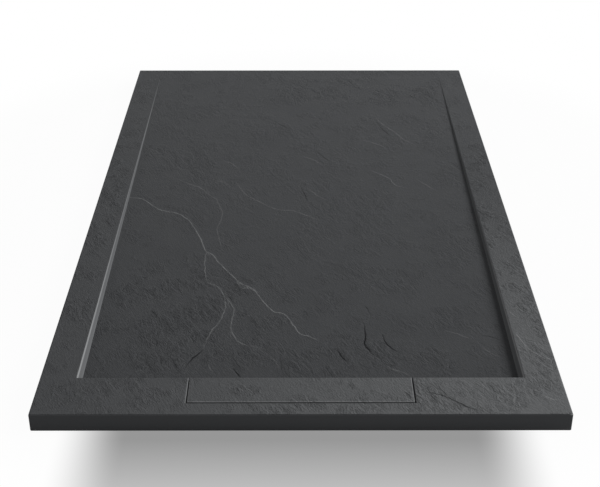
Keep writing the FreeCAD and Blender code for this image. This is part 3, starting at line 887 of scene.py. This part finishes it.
def vein_reading(tree, given, flat, lines):
    """(distance, side, strength) of the nearest vein, whose line wanders a little."""
    wander = vector_maths(tree, "ADD", noise(tree, flat, WANDER_SIZE, output=1), (-0.5,) * 3)
    shift = add(tree, "ShaderNodeVectorMath", {0: wander, "Scale": given["Vein Wander"]},
                operation="SCALE").outputs[0]
    spot = flattened(tree, vector_maths(tree, "ADD", flat, shift))
    info = add(tree, "GeometryNodeObjectInfo", {"Object": lines})
    curve = add(tree, "GeometryNodeMeshToCurve", {"Mesh": info.outputs["Geometry"]})
    smooth = add(tree, "GeometryNodeCurveSplineType", {"Curve": curve.outputs[0]},
                 spline_type="CATMULL_ROM")
    dots = add(tree, "GeometryNodeCurveToPoints", {"Curve": smooth.outputs[0], "Length": DOT_STEP},
               mode="LENGTH")
    nearest = add(tree, "GeometryNodeSampleNearest", {"Geometry": dots.outputs[0],
                                                      "Sample Position": spot}, domain="POINT").outputs[0]
    own_place = add(tree, "GeometryNodeInputPosition").outputs[0]
    place = at_nearest(tree, dots, nearest, own_place, "FLOAT_VECTOR")
    along = at_nearest(tree, dots, nearest, dots.outputs["Tangent"], "FLOAT_VECTOR")
    strength = at_nearest(tree, dots, nearest, stored(tree, "strength"), "FLOAT")
    away = vector_maths(tree, "SUBTRACT", spot, place)
    return length(tree, away), side_of(tree, along, away), strength


print("veins are read every", DOT_STEP / MM, "mm")

# %% [markdown]
# The parts are added up, kept below the level of the straight edges, and multiplied by each point's
# share. The tree ends by laying on the finish.


# %% Build the relief tree
WAVE_SIZE = 160 * MM
CAP_EASE = 0.2 * MM
GAP_LIMIT = 12 * MM
GAP_FADE = (0.35 * GAP_LIMIT, 0.6 * GAP_LIMIT)


def build_relief(lines):
    """The whole relief: grain, waves, steps and veins, times each point's share."""
    tree, given, end = shape_tree("slate_relief", RELIEF_INPUTS)
    position = add(tree, "GeometryNodeInputPosition").outputs[0]
    flat = flattened(tree, position)
    turned = to_grain(tree, flat, given["Grain Angle"])
    strokes = stretched(tree, turned, given["Grain Length"], given["Grain Width"])
    grain = about_zero(tree, texture(tree, strokes, 3.0, 0.6)[0], given["Grain Height"])
    wave = about_zero(tree, noise(tree, turned, WAVE_SIZE, detail=2.0), given["Wave Height"])
    steps = times(tree, teeth(tree, turned, **BROKEN_STEPS), given["Step Height"], stored(tree, "cleft"))
    gap, side, strength = vein_reading(tree, given, flat, lines)
    ridge = ramp(tree, gap, 0.0, given["Vein Width"], 1.0, 0.0)
    vein = times(tree, ridge, strength, given["Vein Height"])
    total = maths(tree, "SUBTRACT", plus(tree, grain, wave, steps, vein), given["Lowering"])
    room_above = maths(tree, "SUBTRACT", TOP, split(tree, position)[2])
    capped = maths(tree, "SMOOTH_MIN", total, room_above, CAP_EASE)
    lift = add(tree, "ShaderNodeCombineXYZ", {2: times(tree, capped, stored(tree, "relief_share"))})
    shape = add(tree, "GeometryNodeSetPosition", {"Geometry": given["Geometry"],
                                                  "Offset": lift.outputs[0]}).outputs[0]
    signed = times(tree, maths(tree, "MINIMUM", gap, GAP_LIMIT), side)
    shape = with_number(tree, shape, "vein_gap", maths(tree, "DIVIDE", signed, MM))
    close = ramp(tree, gap, *GAP_FADE, 1.0, 0.0)
    shape = with_number(tree, shape, "vein_strength", times(tree, strength, close))
    return finish_tree(tree, shape, given, end)


relief = build_relief(veins)
print("relief tree has", len(relief.nodes), "nodes")

# %% [markdown]
# ## Shared surface effects
# Some effects turn up on more than one material: a fine tooth on moulded and cast parts, the slate's
# fine grain with its chips, and the rub marks that handling leaves. Each is a shader node group with
# named inputs, made once and placed in each material with its own values.


# %% Fine tooth, slate grain and rub marks
CLOUD_SIZE = 60 * MM
CHIP_SIZE = 17 * MM
CHIPS = {"squeeze": 0.4, "size": CHIP_SIZE, "detail": 5.0, "roughness": 0.6, "levels": 7.0, "drop": 0.8}
CHIPPED = (0.42, 0.58)
GRIT_SIZE = 1.3 * MM
MARKS_START = (0.55, 0.75)


def effect_group(name, numbers, results):
    """A shader group with a Place vector, named numbers in and named values out."""
    return open_tree(name, "ShaderNodeTree", {"Place": "Vector"}, numbers, dict.fromkeys(results, "Float"))


def fine_tooth_group():
    """A fine tooth, and clouds some centimetres wide."""
    group, given, end = effect_group("fine_tooth", {"Size": 0.8 * MM}, ["Tooth", "Cloud"])
    near = stretched(group, given["Place"], *[given["Size"]] * 3)
    tooth = texture(group, near, 3.0)[0]
    wire(group, end, {"Tooth": tooth, "Cloud": noise(group, given["Place"], CLOUD_SIZE, 4.0, 0.5)})
    return group


def slate_grain_group():
    """Strokes along the grain, grit, and chips where thin layers broke away."""
    group, given, end = effect_group("slate_grain", {"Length": 7.5 * MM, "Width": 2.8 * MM},
                                     ["Strokes", "Grit", "Chips"])
    turned = to_grain(group, given["Place"], RELIEF_INPUTS["Grain Angle"])
    drawn_out = stretched(group, turned, given["Length"], given["Width"])
    chipped = ramp(group, noise(group, given["Place"], 3 * CHIP_SIZE), *CHIPPED)
    wire(group, end, {"Strokes": texture(group, drawn_out, 4.0, 0.62)[0],
                      "Grit": noise(group, given["Place"], GRIT_SIZE, 2.0, 0.5),
                      "Chips": times(group, teeth(group, turned, **CHIPS), chipped)})
    return group


def rub_marks_group():
    """The thin lines that handling leaves."""
    group, given, end = effect_group("rub_marks", {"Length": 50 * MM, "Width": 0.6 * MM}, ["Marks"])
    drawn_out = stretched(group, given["Place"], given["Length"], given["Width"], given["Width"])
    wire(group, end, {"Marks": ramp(group, texture(group, drawn_out, 3.0)[0], *MARKS_START)})
    return group


fine_tooth = fine_tooth_group()
slate_grain = slate_grain_group()
rub_marks = rub_marks_group()
print("three shared effects:", fine_tooth.name, slate_grain.name, rub_marks.name)


# %% Helpers for materials
def material_tree(name, **plain):
    """A material with one Principled shader, its plain values set on the shader's own sockets."""
    material = bpy.data.materials.new(name)
    material.use_nodes = True
    tree = material.node_tree
    shader = tree.nodes["Principled BSDF"]
    wire(tree, shader, {label.replace("_", " "): value for label, value in plain.items()})
    return material, tree, shader, add(tree, "ShaderNodeTexCoord").outputs["Object"]


def effect(tree, group, place, **numbers):
    """The outputs of a shared effect, placed in a material with its own values."""
    node = add(tree, "ShaderNodeGroup", node_tree=group)
    return wire(tree, node, {"Place": place, **numbers}).outputs


def blend_colour(tree, factor, first, second):
    """Goes from one colour to the other as the factor rises."""
    return add(tree, "ShaderNodeMix", {0: factor, 6: first, 7: second}, data_type="RGBA").outputs[2]


def spread(tree, value, low, high, start=0.3, end=0.7):
    """Maps a noise value onto a range."""
    return ramp(tree, value, start, end, low, high, soft=False)


def bump(tree, shader, height, depth, strength=1.0):
    """Feeds a height to the shader's normal, with the real depth of one unit of it."""
    node = add(tree, "ShaderNodeBump", {"Height": height, "Distance": depth, "Strength": strength})
    wire(tree, shader, {"Normal": node.outputs[0]})


def toothed(name, size, colours, rough, depth, clouds=(0.0, 1.0), rubs=0.0, specular=0.5):
    """A material with a fine tooth, clouds from one colour to the other and maybe rub marks."""
    material, tree, shader, place = material_tree(name, Specular_IOR_Level=specular)
    tooth = effect(tree, fine_tooth, place, Size=size)
    base = blend_colour(tree, spread(tree, tooth["Cloud"], 0.0, 1.0, *clouds), *colours)
    roughness = spread(tree, tooth["Tooth"], *rough)
    if rubs:
        roughness = maths(tree, "MULTIPLY_ADD", effect(tree, rub_marks, place)["Marks"], rubs, roughness)
    wire(tree, shader, {"Base Color": base, "Roughness": roughness})
    bump(tree, shader, tooth["Tooth"], depth)
    return material


print("material helpers are ready")

# %% [markdown]
# ## The slate skin
# The skin is a graphite that leans slightly to blue. Painted shade makes it a little darker where the floor
# lies deep, and a painted pool of light makes it paler towards the near right corner. The grain shows in
# the bump and as thin light strokes, and it stays off the walls and sides, which were cast against a
# smooth mould. The walls are painted paler and the outer sides darker, as painted light and shade. The
# sharp edges carry a pale painted highlight. The veins are drawn here, a few millimetres wide, with a
# small wobble that keeps them ragged: pale ones stand proud, and cracks are dark and sunk.

# %% Colours of the slate skin
SLATE_DARK = (0.045, 0.0465, 0.049, 1)
SLATE_PALE = (0.116, 0.119, 0.122, 1)
# Painted light and shade on one stone: the walls of the sunk floor are painted paler, the outer sides darker.
LIT_WALL_TONE = (0.128, 0.131, 0.135, 1)
SHADED_SIDE_TONE = (0.070, 0.072, 0.075, 1)
# Painted highlight: a pale colour laid on the bevels and on the right outer edge.
EDGE_HIGHLIGHT = (0.24, 0.244, 0.248, 1)
SLATE_VEIN = (0.200, 0.204, 0.207, 1)
SLATE_CRACK = (0.012, 0.012, 0.013, 1)
HIGHLIGHT_FAR = 0.25  # what is left of the painted edge highlight at the middle of the tray
LIT_WALL_FAR = 0.7  # what is left of the walls' painted light tone there
# A painted highlight, a pale hairline, runs round the lid and along the slot's left edge.
HIGHLIGHT_LINE = 1.2 * MM
HIGHLIGHT_SHARE = 0.4
HIGHLIGHT_FRONT = 0.45  # distances from the front edge count this much, so the painted highlight line is wider at the front
VEIN_HALF = (0.3, 1.9)
VEIN_WOBBLE = 1.6
VEIN_BREAKS = (0.35, 0.55, 0.4, 0.75)
CRACK_HALF = (0.5, 2.0)
# Painted shade darkens the floor the deeper it lies; the next four sizes lay a painted pool of light, paler,
# round the near right corner of the frame.
DEPTH_SHADE_TONES = (0.12, 0.25)
FROM_LIGHT_POOL = (-0.40, 0.70, 0.0)  # added to a place, it gives the way from the corner at (0.40, -0.70)
LIGHT_POOL_REACH = 0.85
LIGHT_POOL_TONE = 0.78
LIGHT_POOL_RISE = (TOP - 4.5 * MM, TOP - 2.5 * MM)
CLOUD_TONE = 0.08
WALL_ZONE = (EDGE + 1 * MM, EDGE + 3 * MM)
# These four sizes place the painted edge highlight.
RIGHT_ZONE = (HALF_WIDTH - 5 * MM, HALF_WIDTH - 4 * MM)
SLANT_FROM = (0.25, 0.45)
SLANT_TO = (0.8, 0.93)
HIGHLIGHT_ZONE = (TOP - RIM_BEVEL - 1.5 * MM, TOP - RIM_BEVEL - 0.5 * MM)

# The paler corner is a painted pool of light.
print("the painted pool of light is paler by", LIGHT_POOL_TONE, "and fades over", LIGHT_POOL_REACH, "m")


# %% Tone, walls and painted highlights
def slate_tone(tree, place, cloud):
    """How pale the skin is, from 0 to 1: painted shade darkens the deep floor, and a painted pool of light
    brightens the near right corner.
    """
    height = split(tree, place)[2]
    level = ramp(tree, height, TOP - DRAIN_DEPTH, TOP, *DEPTH_SHADE_TONES, soft=False)
    from_corner = flattened(tree, vector_maths(tree, "ADD", place, FROM_LIGHT_POOL))
    near = ramp(tree, length(tree, from_corner), 0.0, LIGHT_POOL_REACH, LIGHT_POOL_TONE, 0.0)
    painted_light_pool = times(tree, ramp(tree, height, *LIGHT_POOL_RISE), near)
    return plus(tree, level, painted_light_pool, about_zero(tree, cloud, CLOUD_TONE))


def wall_and_highlight_masks(tree, place, up):
    """(walls of the sunk floor, edges with a pale painted highlight)."""
    x, y, z = split(tree, place)
    to_side = maths(tree, "SUBTRACT", HALF_WIDTH, maths(tree, "ABSOLUTE", x))
    walls = times(tree, ramp(tree, to_side, *WALL_ZONE), ramp(tree, y, recess_drain, recess_drain + 2 * MM))
    slanted = times(tree, ramp(tree, up, *SLANT_FROM), ramp(tree, up, *SLANT_TO, 1.0, 0.0))
    high = ramp(tree, z, *HIGHLIGHT_ZONE, 0.0, ramp(tree, y, recess_drain, 0.0, 1.0, HIGHLIGHT_FAR))
    painted_highlight = times(tree, slanted, high, maths(tree, "MAXIMUM", walls, ramp(tree, x, *RIGHT_ZONE)))
    walls = times(tree, walls, ramp(tree, y, recess_drain, 0.0, 1.0, LIT_WALL_FAR))
    return walls, maths(tree, "MAXIMUM", painted_highlight, lid_painted_highlight(tree, x, y))


def lid_painted_highlight(tree, x, y):
    """A painted highlight line round the lid's sharp edge, and on the slot's left edge."""
    in_y = times(tree, maths(tree, "SUBTRACT", y, lid_low.y), HIGHLIGHT_FRONT)
    in_x = maths(tree, "SUBTRACT", lid_high.x, maths(tree, "ABSOLUTE", x))
    inside = maths(tree, "MINIMUM", in_x, in_y)
    line = times(tree, ramp(tree, inside, 0.0, LID_EASE / 2),
                 ramp(tree, inside, HIGHLIGHT_LINE, HIGHLIGHT_LINE + 0.3 * MM, 1.0, 0.0))
    beside = maths(tree, "ABSOLUTE", plus(tree, x, SLOT_HALF + HIGHLIGHT_LINE / 2))
    left = times(tree, ramp(tree, beside, HIGHLIGHT_LINE / 2, HIGHLIGHT_LINE, 1.0, 0.0),
                 maths(tree, "GREATER_THAN", y, SLOT_FRONT))
    here = maths(tree, "LESS_THAN", y, recess_drain)
    return times(tree, maths(tree, "MAXIMUM", line, left), here, HIGHLIGHT_SHARE)


# The pale edge mask lays a painted highlight.
print("masks for tone, walls and worn edges are ready")


# %% Masks of the veins
def carried(tree, name):
    """A number that the mesh carries, for a material."""
    return add(tree, "ShaderNodeAttribute", attribute_name=name).outputs["Fac"]


def vein_masks(tree, place):
    """(pale, crack): how much each point belongs to a vein's thin line."""
    strength = carried(tree, "vein_strength")
    wobble = about_zero(tree, noise(tree, place, 5 * MM, roughness=0.7), VEIN_WOBBLE)
    off = maths(tree, "ABSOLUTE", plus(tree, carried(tree, "vein_gap"), wobble))
    breaks = ramp(tree, noise(tree, place, 16 * MM, detail=2.0), *VEIN_BREAKS)
    raised = maths(tree, "MAXIMUM", strength, 0.0)
    sunk = maths(tree, "MAXIMUM", times(tree, strength, -1.0), 0.0)
    return (times(tree, ramp(tree, off, *VEIN_HALF, 1.0, 0.0), raised, breaks),
            times(tree, ramp(tree, off, *CRACK_HALF, 1.0, 0.0), sunk))


print("masks for veins and cracks are ready")

# %% [markdown]
# The skin's colour is laid on in layers, from the stone's tone to the cracks, and its bump is a sum of
# shares in the same way.


# %% Paint the slate skin
FINE_STROKES = {"Length": 5 * MM, "Width": 1.3 * MM}
TOOTH_SIZE = 1.6 * MM
UPWARD = (0.8, 0.97)
ROUGH_RANGE = (0.3, 2.0)
STROKE_TONE = (0.0, 0.17, 0.5, 0.75)
SKIN_ROUGHNESS = (0.56, 0.72)
STONE_BUMP = (0.3, 0.5, 1.2)  # grit, fine strokes and chips, beside 1 for the strokes of the grain
LINE_BUMP = (0.5, -0.8)  # pale veins stand proud, cracks are sunk
BUMP_DEPTH = 0.9 * MM


def slate_skin():
    """The material of the slate skin: colours in layers, roughness and bump."""
    material, tree, shader, place = material_tree("slate_skin", Specular_IOR_Level=0.03)
    grain = effect(tree, slate_grain, place)
    fine = effect(tree, slate_grain, place, **FINE_STROKES)
    cloud = effect(tree, fine_tooth, place, Size=TOOTH_SIZE)["Cloud"]
    up = split(tree, add(tree, "ShaderNodeTexCoord").outputs["Normal"])[2]
    upward = ramp(tree, up, *UPWARD)
    walls, painted_highlight = wall_and_highlight_masks(tree, place, up)
    rough = times(tree, upward, ramp(tree, carried(tree, "cleft"), 0.0, 1.0, *ROUGH_RANGE, soft=False))
    pale, crack = vein_masks(tree, place)
    base = blend_colour(tree, slate_tone(tree, place, cloud), SLATE_DARK, SLATE_PALE)
    stroke = times(tree, spread(tree, fine["Strokes"], *STROKE_TONE), rough)
    base = blend_colour(tree, stroke, base, SLATE_VEIN)
    # Painted light and shade: walls take the paler tone, outer sides the darker one.
    base = blend_colour(tree, upward, blend_colour(tree, walls, SHADED_SIDE_TONE, LIT_WALL_TONE), base)
    for mask, colour in ((painted_highlight, EDGE_HIGHLIGHT), (pale, SLATE_VEIN), (crack, SLATE_CRACK)):
        base = blend_colour(tree, mask, base, colour)
    height = grain["Strokes"]
    for value, weight in zip((grain["Grit"], fine["Strokes"], grain["Chips"]), STONE_BUMP):
        height = maths(tree, "MULTIPLY_ADD", value, weight, height)
    height = times(tree, height, rough)
    for value, weight in zip((pale, crack), LINE_BUMP):
        height = maths(tree, "MULTIPLY_ADD", value, weight, height)
    wire(tree, shader, {"Base Color": base, "Roughness": spread(tree, grain["Strokes"], *SKIN_ROUGHNESS)})
    bump(tree, shader, height, BUMP_DEPTH)
    return material


slate = slate_skin()
print("slate skin:", len(slate.node_tree.nodes), "nodes")


# %% Dress the net
def bake_nodes(piece, tree, values):
    """Runs a Geometry Nodes tree on a piece and leaves a plain mesh."""
    modifier = piece.modifiers.new("shape", "NODES")
    modifier.node_group = tree
    for item in tree.interface.items_tree:
        if item.in_out == "INPUT" and item.name in values:
            modifier[item.identifier] = values[item.name]
    depsgraph = bpy.context.evaluated_depsgraph_get()
    baked = bpy.data.meshes.new_from_object(piece.evaluated_get(depsgraph), depsgraph=depsgraph)
    piece.modifiers.clear()
    piece.data = baked
    return piece


SHARP_ANGLE = math.radians(50)
for made in (slate_frame, slate_floor_drain_half, slate_floor_far_half, slate_lid):
    bake_nodes(made, relief, {**RELIEF_INPUTS, "Finish": slate})
    made.data.set_sharp_from_angle(angle=SHARP_ANGLE)
    heights = [corner.co.z for corner in made.data.vertices]
    print(made.name, "highest", round(1000 * max(heights), 2), "mm")
bpy.data.objects.remove(veins)


# %% [markdown]
# ## Plain cast faces
# The channel and the bed were against smooth mould faces. They are the same colour as the skin but flat,
# with a fine tooth.

# %% Cast faces
CAST_PALE = (0.056, 0.0575, 0.060, 1)

cast = toothed("cast_face", 1.2 * MM, (SLATE_DARK, CAST_PALE), (0.45, 0.6), 0.12 * MM, clouds=(0.3, 0.7),
               specular=0.4)
for made in (casting_channel, lid_back):
    made.data.materials.append(cast)
print("plain cast faces on", casting_channel.name, "and", lid_back.name)

# %% [markdown]
# ## Steel, rubber and moulded plastic
# The waste and strainer are turned and pressed from stainless steel, brushed in rings round their own
# axis. The seals are matt rubber. The trap, tube, washer and nut are moulded, each in its own colour.

# %% Small materials
WASTE_MIDDLE = sum(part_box("waste_flange"), Vector()) / 2
RINGS_PER_METRE = 6000.0
STEEL = (0.62, 0.62, 0.61, 1)


def brushed_steel():
    """Steel brushed in rings round the axis of the waste."""
    material, tree, shader, place = material_tree("brushed_steel", Metallic=1.0, Base_Color=STEEL)
    x, y, z = split(tree, vector_maths(tree, "ADD", place, (-WASTE_MIDDLE.x, -WASTE_MIDDLE.y, 0)))
    radius = maths(tree, "SQRT", plus(tree, maths(tree, "POWER", x, 2.0), maths(tree, "POWER", y, 2.0)))
    rings = add(tree, "ShaderNodeCombineXYZ", {0: times(tree, radius, RINGS_PER_METRE),
                                               1: times(tree, z, RINGS_PER_METRE)})
    brush = texture(tree, rings.outputs[0], 2.0)[0]
    rubs = effect(tree, rub_marks, place, Length=20 * MM, Width=0.3 * MM)
    roughness = maths(tree, "MULTIPLY_ADD", rubs["Marks"], 0.1, spread(tree, brush, 0.2, 0.36))
    wire(tree, shader, {"Roughness": roughness})
    bump(tree, shader, brush, 0.01 * MM, 0.5)
    return material


def moulded(name, colour, paler):
    """Satin moulded plastic with a spark-eroded tooth and a few rub marks."""
    return toothed(name, 0.45 * MM, (colour, paler), (0.36, 0.46), 0.03 * MM, rubs=0.12)


RUBBERS = ((0.012, 0.012, 0.013, 1), (0.024, 0.024, 0.025, 1))
FINISHES = {
    "waste_flange": brushed_steel(),
    "cover_pads": toothed("soft_rubber", 0.5 * MM, RUBBERS, (0.66, 0.82), 0.05 * MM, specular=0.3),
    "trap_body": moulded("trap_white", (0.68, 0.69, 0.69, 1), (0.74, 0.75, 0.75, 1)),
    "dip_tube": moulded("tube_grey", (0.17, 0.18, 0.20, 1), (0.20, 0.21, 0.23, 1)),
    "outlet_nut": moulded("nut_black", (0.013, 0.013, 0.015, 1), (0.02, 0.02, 0.022, 1)),
}
SAME_AS = {"strainer_plate": "waste_flange", "strainer_knob": "waste_flange", "flange_gasket": "cover_pads",
           "dip_tube_ring": "cover_pads", "trap_gasket": "cover_pads", "outlet_seal": "cover_pads",
           "outlet_washer": "dip_tube"}
for node in list(FINISHES) + list(SAME_AS):
    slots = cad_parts[node].data.materials
    slots.clear()
    slots.append(FINISHES[SAME_AS.get(node, node)])
print(len(FINISHES) + len(SAME_AS), "CAD nodes have their finish")

# %% [markdown]
# ## The outlet's thread
# The nut grips a moulded thread on the trap's outlet, and a few turns of it show behind the nut. A
# thread follows a helix, so Geometry Nodes draw it: a spiral curve, a small blunt profile run along it,
# and named inputs for its radius, pitch, turns and ridge width.

# %% Inputs and tree of the thread
nut_low, nut_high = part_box("outlet_nut")
THREAD_INPUTS = {
    "Radius": 24.8 * MM,
    "Pitch": 3.0 * MM,
    "Turns": 4.0,
    "Ridge Width": 1.5 * MM,
}
TURN_STEPS = 72
RIDGE_CORNERS = 6
BEHIND_NUT = 0.8 * MM
THREAD_START = nut_low.y - BEHIND_NUT - THREAD_INPUTS["Pitch"] * THREAD_INPUTS["Turns"]


def build_thread():
    """A blunt ridge on a helix about +Y, starting at y = 0."""
    tree, given, end = shape_tree("outlet_thread", THREAD_INPUTS)
    helix = add(tree, "GeometryNodeCurveSpiral", {
        "Resolution": TURN_STEPS, "Rotations": given["Turns"],
        "Height": times(tree, given["Pitch"], given["Turns"]),
        "Start Radius": given["Radius"], "End Radius": given["Radius"]})
    half_width = times(tree, given["Ridge Width"], 0.5)
    corners = add(tree, "GeometryNodeCurvePrimitiveCircle", {"Resolution": RIDGE_CORNERS,
                                                             "Radius": half_width})
    ridge = add(tree, "GeometryNodeCurveToMesh", {
        "Curve": helix.outputs[0], "Profile Curve": corners.outputs[0], "Fill Caps": True})
    laid = add(tree, "GeometryNodeTransform", {"Geometry": ridge.outputs[0],
                                               "Rotation": (-math.pi / 2, 0, 0)})
    return finish_tree(tree, laid.outputs[0], given, end)


print("thread starts", round(1000 * THREAD_START, 1), "mm along the tray")


# %% Make the thread
def thread_piece():
    """The baked thread, with its place in its mesh."""
    piece = placed("outlet_thread", bpy.data.meshes.new("outlet_thread"))
    bake_nodes(piece, build_thread(), {**THREAD_INPUTS, "Finish": FINISHES["trap_body"]})
    axis_z = (nut_low.z + nut_high.z) / 2
    for corner in piece.data.vertices:
        corner.co += Vector((0, THREAD_START, axis_z))
    return piece


outlet_thread = thread_piece()
print("thread:", len(outlet_thread.data.polygons), "faces")

# %% [markdown]
# ## Each piece rides on its body
# The slate pieces of the casting stay with the tray and stand for its CAD solid. The lid's two pieces
# lift off with it.

# %% Ride, replace and finish
for made in (slate_frame, slate_floor_drain_half, slate_floor_far_half, casting_channel):
    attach(made, "tray")
    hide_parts("tray_body")
for made in (slate_lid, lid_back):
    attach(made, "cover")
    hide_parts("drain_cover")
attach(outlet_thread, "tray")
